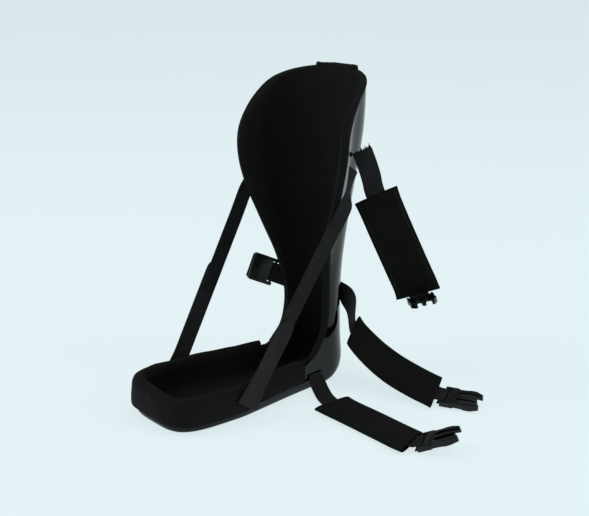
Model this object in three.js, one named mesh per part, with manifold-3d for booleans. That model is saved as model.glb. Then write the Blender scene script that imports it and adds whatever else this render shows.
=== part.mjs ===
// Ankle night splint: a one-piece plastic shell with a calf trough and a foot tray, lined with
// fabric-covered foam, two tension straps from tray to wings and three padded buckle straps.
// Millimetres. The origin is on the floor under the heel, +Z up, toes towards -Y, +X the buckle side.
import * as THREE from 'three';
import { mergeVertices } from 'three/addons/utils/BufferGeometryUtils.js';
import Module from 'manifold-3d';

const wasm = await Module();
wasm.setup();

const GAP = 0.3;

// Shell
const SHELL_HEIGHT = 400;
const SHELL_WALL = 3;
const HEEL_BACK = 45;
const FOOT_LENGTH = 292;
const FOREFOOT_HALF_WIDTH = 59.5;
const TOE_ROUND = 95;
const TOE_SQUARENESS = 4.2;
const TRAY_WALL_HEIGHT = 32;
const SIDE_CORNER = 5;
const HEEL_CORNER = 22;
const CALF_HALF_WIDTH = 82;
const CALF_HALF_DEPTH = 62;
const RIM_EASE = 10;
const CROWN = 24;

// Liners
const BASE_FOAM = 6;
const WALL_FOAM = 7;
const CALF_FOAM = 6;
const CREST_RISE = 10;
const FAR_CREST_RISE = 5;
const HEEL_LINER_TOP = 40;
const FLAP_THICKNESS = 4.5;
const FLAP_HEM = 9;
const SIDE_HEM = 15;
const CORNER_FOLD = 4;
const EDGE_ROLL = 5;
const ROLL_LIP = 0.5;
const ROLL_ROUND = 2;

// Webbing, pads and buckles
const WEBBING = 1.6;
const STRAP_WIDTH = 25;
const UPPER_HALF_WIDTH = 22;
const PAD_WIDTH = 55;
const PAD_THICKNESS = 7;
const PAD_LENGTH = 141;
const PAD_END = 0.72;
const PAD_CLEARANCE = 3.5;
const TAIL = 5;
const LEAD_IN = 5;
const BUCKLE_WIDTH = 34;
const BUCKLE_THICKNESS = 7;
const BUCKLE_BODY = 18;
const PRONG_LENGTH = 30;
const BAR = 3;
const BAR_THICKNESS = 2.8;
const RIB = 0.8;
const RIB_WIDTH = 2;
const SOCKET_WALL = 1.8;
const SOCKET_LENGTH = 34;
const SOCKET_THICKNESS = 10;
const SOCKET_CORNER = 3;

// Straight-line reach of each strap's free part, the measure of its route table
const UPPER_REACH = 200;
const MIDDLE_REACH = 160;
const LOWER_REACH = 210;
const TAB_REACH = 60;
const OVERLAP = 38;
const ROOT_FLARE = 0.3;

// Trough sections by height. z is a share of SHELL_HEIGHT, w of CALF_HALF_WIDTH, b of
// CALF_HALF_DEPTH, back of HEEL_BACK, rim of CALF_HALF_DEPTH; flare is the opening of the sides,
// and twist turns the section about the vertical, in degrees, with the +X side going back.
const TROUGH = [
  { z: 0.0775, w: 0.496, b: 0.645, back: 0.985, rim: -0.86, flare: 0.11, twist: 0.0 },
  { z: 0.0900, w: 0.497, b: 0.645, back: 0.965, rim: -0.56, flare: 0.11, twist: 0.0 },
  { z: 0.1100, w: 0.497, b: 0.645, back: 0.945, rim: -0.36, flare: 0.10, twist: 0.0 },
  { z: 0.1400, w: 0.499, b: 0.645, back: 0.920, rim: -0.19, flare: 0.08, twist: 0.0 },
  { z: 0.2000, w: 0.504, b: 0.645, back: 0.893, rim: -0.05, flare: 0.05, twist: 0.0 },
  { z: 0.3000, w: 0.525, b: 0.648, back: 0.871, rim: -0.04, flare: 0.08, twist: 0.5 },
  { z: 0.4000, w: 0.578, b: 0.694, back: 0.885, rim: -0.16, flare: 0.20, twist: 3.5 },
  { z: 0.5000, w: 0.650, b: 0.742, back: 0.945, rim: -0.33, flare: 0.40, twist: 7.5 },
  { z: 0.6000, w: 0.742, b: 0.819, back: 1.015, rim: -0.48, flare: 0.54, twist: 10.5 },
  { z: 0.7000, w: 0.845, b: 0.897, back: 1.090, rim: -0.55, flare: 0.60, twist: 11.5 },
  { z: 0.7800, w: 0.910, b: 0.946, back: 1.170, rim: -0.53, flare: 0.58, twist: 11.5 },
  { z: 0.8450, w: 0.950, b: 0.985, back: 1.232, rim: -0.43, flare: 0.44, twist: 11.0 },
  { z: 0.8900, w: 0.965, b: 1.000, back: 1.262, rim: -0.27, flare: 0.30, twist: 10.0 },
  { z: 0.9260, w: 0.962, b: 0.995, back: 1.278, rim: -0.06, flare: 0.12, twist: 9.5 },
  { z: 0.9580, w: 0.952, b: 0.982, back: 1.288, rim: 0.25, flare: 0.05, twist: 9.0 },
  { z: 0.9830, w: 0.942, b: 0.970, back: 1.293, rim: 0.59, flare: 0.00, twist: 8.5 },
  { z: 1.0000, w: 0.935, b: 0.960, back: 1.295, rim: 0.87, flare: 0.00, twist: 8.0 },
];

const TOE_Y = HEEL_BACK - FOOT_LENGTH;
const TOE_START = TOE_Y + TOE_ROUND;
const JOIN_Z = TRAY_WALL_HEIGHT;
const TOE_STEPS = 12;
const SIDE_STEPS = 7;
const CALF_STEPS = 12;
const LEVELS = 12;
const CROWN_LEVELS = 4;
const ROOT_STEPS = 10;
const PAD_STEPS = 11;
const LOOP_STEPS = 13;
const TAB_STEPS = 8;
const TENSION_STEPS = 44;

function smooth(t) {
  const c = Math.min(1, Math.max(0, t));
  return c * c * (3 - 2 * c);
}

// Reads one column of a table at z, with a curve that passes smoothly through the rows.
function readTable(rows, key, name, at) {
  let i = 0;
  while (i < rows.length - 2 && at > rows[i + 1][key]) i += 1;
  const slope = (k) => {
    const a = rows[Math.max(0, k - 1)];
    const b = rows[Math.min(rows.length - 1, k + 1)];
    return (b[name] - a[name]) / (b[key] - a[key]);
  };
  const h = rows[i + 1][key] - rows[i][key];
  const t = Math.min(1, Math.max(0, (at - rows[i][key]) / h));
  const t2 = t * t;
  const t3 = t2 * t;
  return (2 * t3 - 3 * t2 + 1) * rows[i][name] + (t3 - 2 * t2 + t) * h * slope(i)
    + (3 * t2 - 2 * t3) * rows[i + 1][name] + (t3 - t2) * h * slope(i + 1);
}

function section(z) {
  const at = Math.max(JOIN_Z, z) / SHELL_HEIGHT;
  const read = (name) => readTable(TROUGH, 'z', name, at);
  const b = read('b') * CALF_HALF_DEPTH;
  const back = read('back') * HEEL_BACK;
  return {
    w: read('w') * CALF_HALF_WIDTH,
    b,
    back,
    wide: back - b,
    rim: read('rim') * CALF_HALF_DEPTH,
    flare: read('flare'),
    twist: THREE.MathUtils.degToRad(read('twist')),
  };
}

// Turns a plan point and its normal about the middle of the section's widest line.
function twisted(p, s) {
  const c = Math.cos(s.twist);
  const n = Math.sin(s.twist);
  const y = p.y - s.wide;
  return {
    x: p.x * c - y * n,
    y: s.wide + p.x * n + y * c,
    nx: p.nx * c - p.ny * n,
    ny: p.nx * n + p.ny * c,
  };
}

// Half of the trough's outline at one height, from the back centre to its rim, as plan points.
function troughHalf(s) {
  const pts = [];
  const share = Math.min(1, Math.max(-1, (s.rim - s.wide) / s.b));
  const end = s.rim < s.wide ? Math.PI / 2 : Math.acos(share);
  for (let i = 0; i <= 40; i += 1) {
    const a = (end * i) / 40;
    pts.push(new THREE.Vector2(s.w * Math.sin(a), s.wide + s.b * Math.cos(a)));
  }
  const reach = s.wide - s.rim;
  for (let i = 1; i <= 24 && reach > 0; i += 1) {
    const d = (reach * i) / 24;
    pts.push(new THREE.Vector2(s.w + s.flare * (Math.hypot(d, RIM_EASE) - RIM_EASE), s.wide - d));
  }
  return pts;
}

// Cuts a plan polyline into equal steps, with the outward normal at each point.
function walk(pts, steps) {
  const at = [0];
  for (let i = 1; i < pts.length; i += 1) at.push(at[i - 1] + pts[i].distanceTo(pts[i - 1]));
  const out = [];
  for (let k = 0; k <= steps; k += 1) {
    const want = (at[at.length - 1] * k) / steps;
    let i = 1;
    while (i < pts.length - 1 && at[i] < want) i += 1;
    const t = (want - at[i - 1]) / (at[i] - at[i - 1]);
    const p = pts[i - 1].clone().lerp(pts[i], t);
    const before = pts[Math.max(0, i - 2)];
    const after = pts[Math.min(pts.length - 1, i + 1)];
    const d = after.clone().sub(before).normalize();
    out.push({ x: p.x, y: p.y, nx: -d.y, ny: d.x });
  }
  out[0].nx = 0;
  out[0].ny = 1;
  return out;
}

// The foot outline's front half, from where the trough's rim leaves it, to the toe centre.
function frontHalf(s) {
  const side = [];
  const xAt = (y) => {
    const near = s.w + s.flare * (Math.hypot(s.wide - y, RIM_EASE) - RIM_EASE);
    const share = smooth((s.rim - y) / (s.rim - TOE_START));
    const along = (s.wide - y) / (s.wide - TOE_START);
    const straight = s.w + (FOREFOOT_HALF_WIDTH - s.w) * along;
    return near + (straight - near) * share;
  };
  for (let i = 0; i <= 30; i += 1) {
    const y = s.rim + ((TOE_START - s.rim) * i) / 30;
    side.push(new THREE.Vector2(xAt(y), y));
  }
  const toe = [];
  for (let i = 0; i <= 60; i += 1) {
    const a = (Math.PI / 2) * (i / 60);
    const k = 2 / TOE_SQUARENESS;
    const x = FOREFOOT_HALF_WIDTH * Math.cos(a) ** k;
    toe.push(new THREE.Vector2(i === 60 ? 0 : x, TOE_START - TOE_ROUND * Math.sin(a) ** k));
  }
  const run = walk(side, SIDE_STEPS).slice(1);
  const nose = walk(toe, TOE_STEPS).slice(1);
  nose[TOE_STEPS - 1].nx = 0;
  nose[TOE_STEPS - 1].ny = -1;
  return run.concat(nose);
}

// Both halves of the trough at one height, from the -X rim round the back to the +X rim.
function troughRow(z) {
  const s = section(z);
  const half = walk(troughHalf(s), CALF_STEPS);
  const mirror = half.slice(1).reverse().map((p) => ({ x: -p.x, y: p.y, nx: -p.nx, ny: p.ny }));
  return mirror.concat(half).map((p) => ({ ...twisted(p, s), z }));
}

// The closed foot outline, starting at the -X rim corner, round the heel and on round the toe.
function footRing() {
  const half = frontHalf(section(JOIN_Z));
  const back = troughRow(JOIN_Z);
  const mirror = half.slice(0, -1).reverse().map((p) => ({ x: -p.x, y: p.y, nx: -p.nx, ny: p.ny }));
  return back.concat(half, mirror).map((p) => ({ ...p, z: JOIN_Z }));
}

const RING = footRing();
const RIM_COLUMNS = 2 * CALF_STEPS;

function offsetPoint(p, inset, z) {
  return new THREE.Vector3(p.x - p.nx * inset, p.y - p.ny * inset, z);
}

// Corner radius of the tray's floor: tight along the sides and toe, wide round the heel.
function cornerAt(p) {
  const heel = smooth((p.y + 0.2 * HEEL_BACK) / HEEL_BACK);
  return SIDE_CORNER + (HEEL_CORNER - SIDE_CORNER) * heel;
}

// Tray wall rows from the top edge down to the flat floor, set in by `inset` from the outside.
function trayRows(inset, floor, top) {
  const rows = [RING.map((p) => offsetPoint(p, inset, top))];
  for (let i = 0; i <= 3; i += 1) {
    const a = (Math.PI / 2) * (i / 3);
    rows.push(RING.map((p) => {
      const r = Math.max(cornerAt(p), inset + 2);
      const rest = r - inset;
      return offsetPoint(p, r - rest * Math.cos(a), floor + rest * (1 - Math.sin(a)));
    }));
  }
  return rows;
}

class Solid {
  constructor() {
    this.points = [];
    this.faces = [];
  }

  add(p) {
    this.points.push(p.x, p.y, p.z);
    return this.points.length / 3 - 1;
  }

  addRows(rows) {
    return rows.map((row) => row.map((p) => this.add(p)));
  }

  // Joins two index rows into a strip; closed rows wrap round, and `flip` turns the faces over.
  strip(a, b, closed = false, flip = false) {
    const n = closed ? a.length : a.length - 1;
    for (let i = 0; i < n; i += 1) {
      const j = (i + 1) % a.length;
      if (flip) this.faces.push(a[i], b[j], a[j], a[i], b[i], b[j]);
      else this.faces.push(a[i], a[j], b[j], a[i], b[j], b[i]);
    }
  }

  // Fills a flat loop whose plan is `flat`, with its holes; `turn` flips the face over.
  fill(loop, flat, holes, turn) {
    const all = flat.concat(...holes);
    for (const t of THREE.ShapeUtils.triangulateShape(flat, holes)) {
      const [a, b, c] = t.map((k) => all[k]);
      const clockwise = b.clone().sub(a).cross(c.clone().sub(a)) < 0;
      const tri = t.map((k) => loop[k]);
      if (clockwise !== turn) tri.reverse();
      this.faces.push(...tri);
    }
  }

  planOf(loop) {
    return loop.map((i) => new THREE.Vector2(this.points[3 * i], this.points[3 * i + 1]));
  }

  // Signed volume of the closed body; negative while the faces point inwards.
  volume() {
    let v = 0;
    const at = (i) => new THREE.Vector3().fromArray(this.points, 3 * i);
    for (let i = 0; i < this.faces.length; i += 3) {
      const [a, b, c] = this.faces.slice(i, i + 3).map(at);
      v += a.dot(b.clone().cross(c)) / 6;
    }
    return v;
  }

  geometry() {
    if (this.volume() < 0) this.faces.reverse();
    const g = new THREE.BufferGeometry();
    g.setAttribute('position', new THREE.Float32BufferAttribute(this.points, 3));
    g.setIndex(this.faces);
    return g;
  }
}

// Closed solid between two sheets of equal rows, edges closed all round.
function sheetSolid(outer, inner) {
  const s = new Solid();
  const o = s.addRows(outer);
  const n = s.addRows(inner);
  const last = o.length - 1;
  for (let i = 0; i < last; i += 1) {
    s.strip(o[i], o[i + 1]);
    s.strip(n[i], n[i + 1], false, true);
  }
  s.strip(n[0], o[0]);
  s.strip(o[last], n[last]);
  const left = (rows) => rows.map((r) => r[0]);
  const right = (rows) => rows.map((r) => r[r.length - 1]);
  s.strip(left(o), left(n));
  s.strip(right(n), right(o));
  return s.geometry();
}

// Heights of the trough's rows, closer together at both ends, where the rim curves most.
function troughLevels() {
  const bottom = HEEL_LINER_TOP + GAP;
  const out = [JOIN_Z];
  const shoulder = SHELL_HEIGHT - CROWN;
  for (let i = 0; i < LEVELS; i += 1) {
    const t = i / LEVELS;
    out.push(bottom + (shoulder - bottom) * (0.6 * t + 0.4 * t ** 1.6));
  }
  for (let i = 0; i <= CROWN_LEVELS; i += 1) {
    out.push(SHELL_HEIGHT - CROWN * (1 - i / CROWN_LEVELS) ** 2);
  }
  return out;
}

// The shell: trough sheet above the tray's ring, both as an outer and an inner skin.
function shellGeometry() {
  const s = new Solid();
  const levels = troughLevels();
  const skins = [0, SHELL_WALL].map((off) => {
    const tray = s.addRows(trayRows(off, Math.max(0, off), JOIN_Z));
    const calf = [tray[0].slice(0, RIM_COLUMNS + 1)];
    levels.slice(1).forEach((z) => {
      calf.push(troughRow(z).map((p) => s.add(offsetPoint(p, off, z))));
    });
    return { tray, calf };
  });
  skins.forEach(({ tray, calf }, k) => {
    const outward = k === 0;
    for (let i = 0; i < tray.length - 1; i += 1) s.strip(tray[i], tray[i + 1], true, outward);
    for (let i = 0; i < calf.length - 1; i += 1) s.strip(calf[i], calf[i + 1], false, !outward);
    const floor = tray[tray.length - 1];
    s.fill(floor, s.planOf(floor), [], !outward);
  });
  const loop = ({ tray, calf }) => {
    const up = calf.slice(1).map((r) => r[0]).reverse();
    const down = calf.slice(1).map((r) => r[r.length - 1]);
    const top = calf[calf.length - 1].slice(1, -1);
    const front = tray[0].slice(RIM_COLUMNS).concat(tray[0][0]);
    return down.slice().reverse().concat(front, up.slice().reverse(), top);
  };
  const a = loop(skins[0]);
  const b = loop(skins[1]);
  s.strip(a, b, true);
  return s.geometry();
}

// The calf liner: foam inside the trough whose edge rolls over the shell's rim and top.
function calfLinerGeometry() {
  const inside = SHELL_WALL + GAP;
  const levels = troughLevels().slice(1).map((z) => ({ z, cap: 0 }));
  levels.push({ z: SHELL_HEIGHT + GAP, cap: 1 });
  levels.push({ z: SHELL_HEIGHT + GAP, cap: 2 });
  levels.push({ z: SHELL_HEIGHT + EDGE_ROLL, cap: 2 });
  const skins = [[], []];
  levels.forEach(({ z, cap }) => {
    const row = troughRow(Math.min(z, SHELL_HEIGHT));
    const outInset = cap === 2 ? -ROLL_LIP : inside;
    const outer = row.map((p) => offsetPoint(p, outInset, z));
    const innerInset = inside + CALF_FOAM - (z > SHELL_HEIGHT + GAP ? ROLL_ROUND : 0);
    const inner = row.map((p) => offsetPoint(p, innerInset, z));
    [0, row.length - 1].forEach((end) => {
      const p = row[end];
      const q = row[end === 0 ? 1 : end - 1];
      const away = new THREE.Vector2(p.x - q.x, p.y - q.y).normalize();
      const point = (reach, inset) => offsetPoint(p, inset, z)
        .add(new THREE.Vector3(away.x * reach, away.y * reach, 0));
      const capOut = [
        point(2 * GAP, outInset),
        point(2 * GAP, -ROLL_LIP),
        point(EDGE_ROLL, -ROLL_LIP),
      ];
      const capIn = [
        point(GAP, innerInset),
        point(2 * GAP, innerInset - GAP),
        point(EDGE_ROLL, innerInset - ROLL_ROUND),
      ];
      if (end === 0) {
        outer.unshift(...capOut.reverse());
        inner.unshift(...capIn.reverse());
      } else {
        outer.push(...capOut);
        inner.push(...capIn);
      }
    });
    skins[0].push(outer);
    skins[1].push(inner);
  });
  return sheetSolid(skins[0], skins[1]);
}

// Rise of the roll over the tray's rim, fuller on the -X side.
function crestAt(p) {
  const far = smooth(0.5 - p.x / FOREFOOT_HALF_WIDTH);
  const forward = smooth((HEEL_BACK - p.y) / FOOT_LENGTH + 0.2);
  return CREST_RISE + FAR_CREST_RISE * far * forward;
}

// How far the flap stands off at the folded toe corner on the -X side.
function foldAt(p) {
  const corner = new THREE.Vector2(-0.93 * FOREFOOT_HALF_WIDTH, TOE_Y + 0.12 * TOE_ROUND);
  const d = corner.distanceTo(new THREE.Vector2(p.x, p.y)) / (0.16 * TOE_ROUND);
  return CORNER_FOLD * Math.exp(-d * d);
}

// Height of the flap's hem: low round the toe, higher along the sides.
function hemAt(p) {
  const back = smooth((p.y - TOE_START + 0.3 * TOE_ROUND) / (0.6 * TOE_ROUND));
  return FLAP_HEM + (SIDE_HEM - FLAP_HEM) * back;
}

// The foot liner: footbed and padded walls, with a roll over the tray's rim and a flap outside.
function footLinerGeometry() {
  const outside = SHELL_WALL + GAP;
  const inner = outside + WALL_FOAM;
  const topRow = (inset) => {
    const heel = troughRow(HEEL_LINER_TOP).map((p) => offsetPoint(p, inset, HEEL_LINER_TOP));
    const wallTop = TRAY_WALL_HEIGHT + 0.5 * CREST_RISE;
    return heel.concat(RING.slice(RIM_COLUMNS + 1).map((p) => offsetPoint(p, inset, wallTop)));
  };
  const bed = new Solid();
  const skins = [[outside, outside], [inner, outside + BASE_FOAM]].map(([inset, floor]) => (
    { top: bed.addRows([topRow(inset)])[0], rows: bed.addRows(trayRows(inset, floor, JOIN_Z)) }
  ));
  skins.forEach(({ top, rows }, k) => {
    bed.strip(rows[0], top, true, k === 0);
    for (let i = 0; i < rows.length - 1; i += 1) bed.strip(rows[i], rows[i + 1], true, k === 1);
    const floor = rows[rows.length - 1];
    bed.fill(floor, bed.planOf(floor), [], k === 0);
  });
  bed.strip(skins[1].top, skins[0].top, true);

  const roll = new Solid();
  const front = RING.slice(RIM_COLUMNS).concat(RING[0]);
  const rim = TRAY_WALL_HEIGHT;
  const profileAt = (p) => {
    const skin = -GAP - FLAP_THICKNESS;
    const fold = foldAt(p);
    const rise = crestAt(p);
    return [
      [inner - 2, rim - 4],
      [inner + 0.5, rim - 1],
      [inner + 0.2, rim + 0.6 * rise],
      [inner - 3.5, rim + 0.97 * rise],
      [SHELL_WALL - 1, rim + rise],
      [skin + 0.4, rim + 0.6 * rise],
      [skin - 0.5 * fold, rim - 3],
      [skin - fold, hemAt(p)],
      [skin + FLAP_THICKNESS - fold, hemAt(p)],
      [-1.5 * GAP, rim - 3],
      [-GAP, rim + GAP],
      [inner - 2, rim + GAP],
    ];
  };
  const rings = front.map((p) => {
    const points = profileAt(p).map(([inset, z]) => offsetPoint(p, inset, z));
    return roll.addRows([points])[0];
  });
  for (let i = 0; i < rings.length - 1; i += 1) roll.strip(rings[i], rings[i + 1], true);
  const endShape = profileAt(front[0]).map(([inset, z]) => new THREE.Vector2(inset, z));
  roll.fill(rings[0], endShape, [], true);
  roll.fill(rings[rings.length - 1], endShape, [], false);
  return joined([bed.geometry(), roll.geometry()]);
}

function toManifold(geometry) {
  let g = geometry.clone();
  g.deleteAttribute('normal');
  g.deleteAttribute('uv');
  g = mergeVertices(g, 1e-4);
  return new wasm.Manifold(new wasm.Mesh({
    numProp: 3,
    vertProperties: new Float32Array(g.attributes.position.array),
    triVerts: new Uint32Array(g.index.array),
  }));
}

function fromManifold(solid) {
  const mesh = solid.getMesh();
  const g = new THREE.BufferGeometry();
  g.setAttribute('position', new THREE.BufferAttribute(mesh.vertProperties, 3));
  g.setIndex(new THREE.BufferAttribute(mesh.triVerts, 1));
  return g;
}

function joined(list) {
  return fromManifold(list.map(toManifold).reduce((a, b) => a.add(b)));
}

function cut(body, tools) {
  return fromManifold(tools.map(toManifold).reduce((a, b) => a.subtract(b), toManifold(body)));
}

// A point outside the shell at height z; u runs from 0 at the back centre to 1 at the +X rim.
function onShell(z, u, out) {
  const s = section(z);
  const half = walk(troughHalf(s), 100)[Math.round(Math.abs(u) * 100)];
  const side = Math.sign(u) || 1;
  const p = twisted({ x: side * half.x, y: half.y, nx: side * half.nx, ny: half.ny }, s);
  const normal = new THREE.Vector3(p.nx, p.ny, 0);
  return { point: new THREE.Vector3(p.x, p.y, z).addScaledVector(normal, out), normal };
}

// A smooth strap route; rows hold a point and the direction across the strap.
class Route {
  constructor(rows) {
    this.rows = rows;
    this.path = new THREE.CatmullRomCurve3(rows.map((r) => r.point), false, 'centripetal');
    this.path.arcLengthDivisions = 800;
    this.length = this.path.getLength();
  }

  // Length of the route up to one of its rows.
  lengthTo(row) {
    return this.path.getLengths(800)[Math.round((800 * row) / (this.rows.length - 1))];
  }

  frame(along) {
    const n = this.rows.length - 1;
    const t = this.path.getUtoTmapping(Math.min(1, Math.max(0, along / this.length)));
    const k = Math.min(n - 1, Math.floor(t * n));
    const forward = this.path.getTangent(t);
    const across = this.rows[k].across.clone().lerp(this.rows[k + 1].across, smooth(t * n - k)).normalize();
    const up = across.clone().cross(forward).normalize();
    return { point: this.path.getPoint(t), forward, across, up, width: 1 };
  }

  // Frames at equal steps between two lengths, both ends included.
  frames(from, to, steps) {
    const out = [];
    for (let i = 0; i <= steps; i += 1) out.push(this.frame(from + ((to - from) * i) / steps));
    return out;
  }
}

// A solid swept along frames; profile(i) is a loop of [across, up] in mm, and so is the bore.
function swept(list, profile, bore) {
  const s = new Solid();
  const place = (f, loop) => loop.map(([a, u]) => f.point.clone()
    .addScaledVector(f.across, a * f.width).addScaledVector(f.up, u));
  const outer = s.addRows(list.map((f, i) => place(f, profile(i))));
  const inner = bore ? s.addRows(list.map((f) => place(f, bore))) : null;
  for (let i = 0; i < outer.length - 1; i += 1) {
    s.strip(outer[i + 1], outer[i], true);
    if (inner) s.strip(inner[i + 1], inner[i], true, true);
  }
  [0, outer.length - 1].forEach((k) => {
    const shape = profile(k).map(([a, u]) => new THREE.Vector2(a, u));
    const holes = bore ? [bore.map(([a, u]) => new THREE.Vector2(a, u))] : [];
    const ids = inner ? outer[k].concat(inner[k]) : outer[k];
    s.fill(ids, shape, holes, k !== 0);
  });
  return s.geometry();
}

function flatProfile(width, thickness) {
  const a = width / 2;
  const u = thickness / 2;
  return [[a, -u], [a, u], [-a, u], [-a, -u]];
}

function webbingGeometry(list, width) {
  return swept(list, () => flatProfile(width, WEBBING), null);
}

function padProfile(full) {
  const a = PAD_WIDTH / 2;
  const u = (PAD_THICKNESS / 2) * full;
  return [
    [a, -0.35 * u], [a, 0.35 * u], [0.9 * a, 0.85 * u], [0.6 * a, u], [-0.6 * a, u],
    [-0.9 * a, 0.85 * u], [-a, 0.35 * u], [-a, -0.35 * u], [-0.9 * a, -0.85 * u], [-0.6 * a, -u],
    [0.6 * a, -u], [0.9 * a, -0.85 * u],
  ];
}

// A padded sleeve on part of a strap's frames, open along the middle for the webbing.
function padGeometry(list) {
  const last = list.length - 1;
  const profile = (i) => padProfile(PAD_END + (1 - PAD_END) * smooth(Math.min(i, last - i) / 2));
  return swept(list, profile, flatProfile(STRAP_WIDTH + 2 * GAP, WEBBING + 2 * GAP));
}

function plate(outline, thickness) {
  const shape = new THREE.Shape(outline.map(([x, y]) => new THREE.Vector2(x, y)));
  const g = new THREE.ExtrudeGeometry(shape, { depth: thickness, bevelEnabled: false });
  g.translate(0, 0, -thickness / 2);
  return g;
}

const SLOT = WEBBING + 2 * GAP + 2;
const SLOT_HALF = STRAP_WIDTH / 2 + 4 * GAP;
const BAR_LIFT = BAR_THICKNESS / 2 + 2 * GAP + WEBBING / 2;

// The bar that webbing turns round, across the open back of a buckle.
function barGeometry() {
  const bar = new THREE.BoxGeometry(2 * SLOT_HALF + 2, BAR - 0.4, BAR_THICKNESS);
  bar.translate(0, BAR / 2 + 0.1, 0);
  return bar;
}

// Half outline of a pronged buckle half. x is a share of half BUCKLE_WIDTH, body of BUCKLE_BODY
// from the webbing bar, and prong of PRONG_LENGTH beyond the body.
const PRONG_OUTLINE = [
  { x: 1.000, body: 0.000, prong: 0.000 },
  { x: 1.000, body: 0.890, prong: 0.000 },
  { x: 0.882, body: 1.000, prong: 0.000 },
  { x: 0.912, body: 1.000, prong: 0.300 },
  { x: 1.000, body: 1.000, prong: 0.500 },
  { x: 0.971, body: 1.000, prong: 0.700 },
  { x: 0.706, body: 1.000, prong: 1.000 },
  { x: 0.529, body: 1.000, prong: 1.000 },
  { x: 0.588, body: 1.000, prong: 0.700 },
  { x: 0.647, body: 1.000, prong: 0.250 },
  { x: 0.471, body: 1.000, prong: 0.034 },
  { x: 0.176, body: 1.000, prong: 0.034 },
  { x: 0.141, body: 1.000, prong: 0.800 },
  { x: 0.059, body: 1.000, prong: 0.860 },
];

// Male half of a side-release buckle: x across, y forward from the webbing bar, z up.
function maleBuckleGeometry() {
  const half = PRONG_OUTLINE.map((r) => [
    r.x * BUCKLE_WIDTH / 2,
    r.body * BUCKLE_BODY + r.prong * PRONG_LENGTH,
  ]);
  const mirror = half.slice().reverse().map(([x, y]) => [-x, y]);
  const w = SLOT_HALF;
  const slot = [[-w, 0], [-w, BAR + SLOT], [w, BAR + SLOT], [w, 0]];
  const rib = new THREE.BoxGeometry(0.7 * BUCKLE_WIDTH, RIB_WIDTH, BUCKLE_THICKNESS + 2 * RIB);
  rib.translate(0, BUCKLE_BODY - 1.5 * RIB_WIDTH, 0);
  return joined([plate(half.concat(mirror, slot), BUCKLE_THICKNESS), rib, barGeometry()]);
}

// Female half: a flat housing with a mouth in front, two side windows and a bar behind.
function femaleBuckleGeometry() {
  const a = BUCKLE_WIDTH / 2 + 1;
  const l = SOCKET_LENGTH;
  const w = SLOT_HALF;
  const outline = [
    [a - 1, 0], [a, 2], [a, l - SOCKET_CORNER], [a - SOCKET_CORNER, l],
    [-a + SOCKET_CORNER, l], [-a, l - SOCKET_CORNER], [-a, 2], [-a + 1, 0],
    [-w, 0], [-w, BAR + SLOT], [w, BAR + SLOT], [w, 0],
  ];
  const inner = SOCKET_THICKNESS - 2 * SOCKET_WALL;
  const mouth = new THREE.BoxGeometry(2 * (a - SOCKET_CORNER), 0.65 * l, inner);
  mouth.translate(0, 0.7 * l, 0);
  const windows = new THREE.BoxGeometry(3 * a, 0.3 * l, inner + 0.5);
  windows.translate(0, 0.62 * l, 0);
  return joined([cut(plate(outline, SOCKET_THICKNESS), [mouth, windows]), barGeometry()]);
}

// Route rows that take the webbing over a buckle's bar, through its slot and back under it.
function barLoop(end, forward, across) {
  const up = across.clone().cross(forward).normalize();
  const turn = BAR + 2 * GAP + WEBBING / 2;
  const at = (f, u) => ({
    point: end.clone().addScaledVector(forward, f).addScaledVector(up, (u - 1) * BAR_LIFT),
    across,
  });
  return [
    at(0, 1), at(0.75 * turn, 1), at(turn, 0.6), at(turn, -0.6),
    at(0.75 * turn, -1), at(0, -1), at(-TAIL, -1),
  ];
}

const vec = (x, y, z) => new THREE.Vector3(x, y, z);
const materials = {
  shell: { color: 0x0b0b0d, roughness: 0.16, metalness: 0 },
  liner: { color: 0x18181a, roughness: 0.95, metalness: 0 },
  webbing: { color: 0x1c1b1d, roughness: 0.85, metalness: 0 },
  pad: { color: 0x131314, roughness: 0.97, metalness: 0 },
  buckle: { color: 0x0d0d0f, roughness: 0.35, metalness: 0 },
};
const group = new THREE.Group();

function piece(name, look, geometry) {
  const mesh = new THREE.Mesh(geometry, new THREE.MeshStandardMaterial(materials[look]));
  mesh.name = name;
  group.add(mesh);
  return mesh;
}

// Hangs a buckle on a strap's end: x across the strap, y along it, its bar under the webbing.
function placeBuckle(mesh, end, forward, across) {
  const up = across.clone().cross(forward).normalize();
  mesh.quaternion.setFromRotationMatrix(new THREE.Matrix4().makeBasis(across, forward, up));
  mesh.position.copy(end).addScaledVector(up, -BAR_LIFT);
}

// Ends a route in a loop round a buckle's bar, with a straight lead-in.
function loopedRoute(rows) {
  const last = rows[rows.length - 1];
  const before = rows[rows.length - 2];
  const forward = last.point.clone().sub(before.point).normalize();
  const across = last.across.clone().addScaledVector(forward, -last.across.dot(forward)).normalize();
  const leadIn = { point: last.point.clone().addScaledVector(forward, -LEAD_IN), across };
  const loop = barLoop(last.point, forward, across);
  const route = new Route(rows.slice(0, -1).concat(leadIn, loop));
  return { route, bar: route.lengthTo(rows.length), end: last.point, forward, across };
}

// A padded buckle strap: webbing from its root to the buckle's bar, a sleeve and the pronged half.
function paddedStrap(name, rows) {
  const { route, bar, end, forward, across } = loopedRoute(rows);
  const padEnd = bar - TAIL - PAD_CLEARANCE;
  const padStart = padEnd - PAD_LENGTH;
  const sleeve = route.frames(padStart, padEnd, PAD_STEPS);
  const webbing = route.frames(0, padStart, ROOT_STEPS).slice(0, -1)
    .concat(sleeve, route.frames(padEnd, route.length, LOOP_STEPS).slice(1));
  piece(`${name}_strap_webbing`, 'webbing', webbingGeometry(webbing, STRAP_WIDTH));
  piece(`${name}_strap_pad`, 'pad', padGeometry(sleeve));
  placeBuckle(piece(`${name}_buckle_prongs`, 'buckle', maleBuckleGeometry()), end, forward, across);
}

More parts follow.
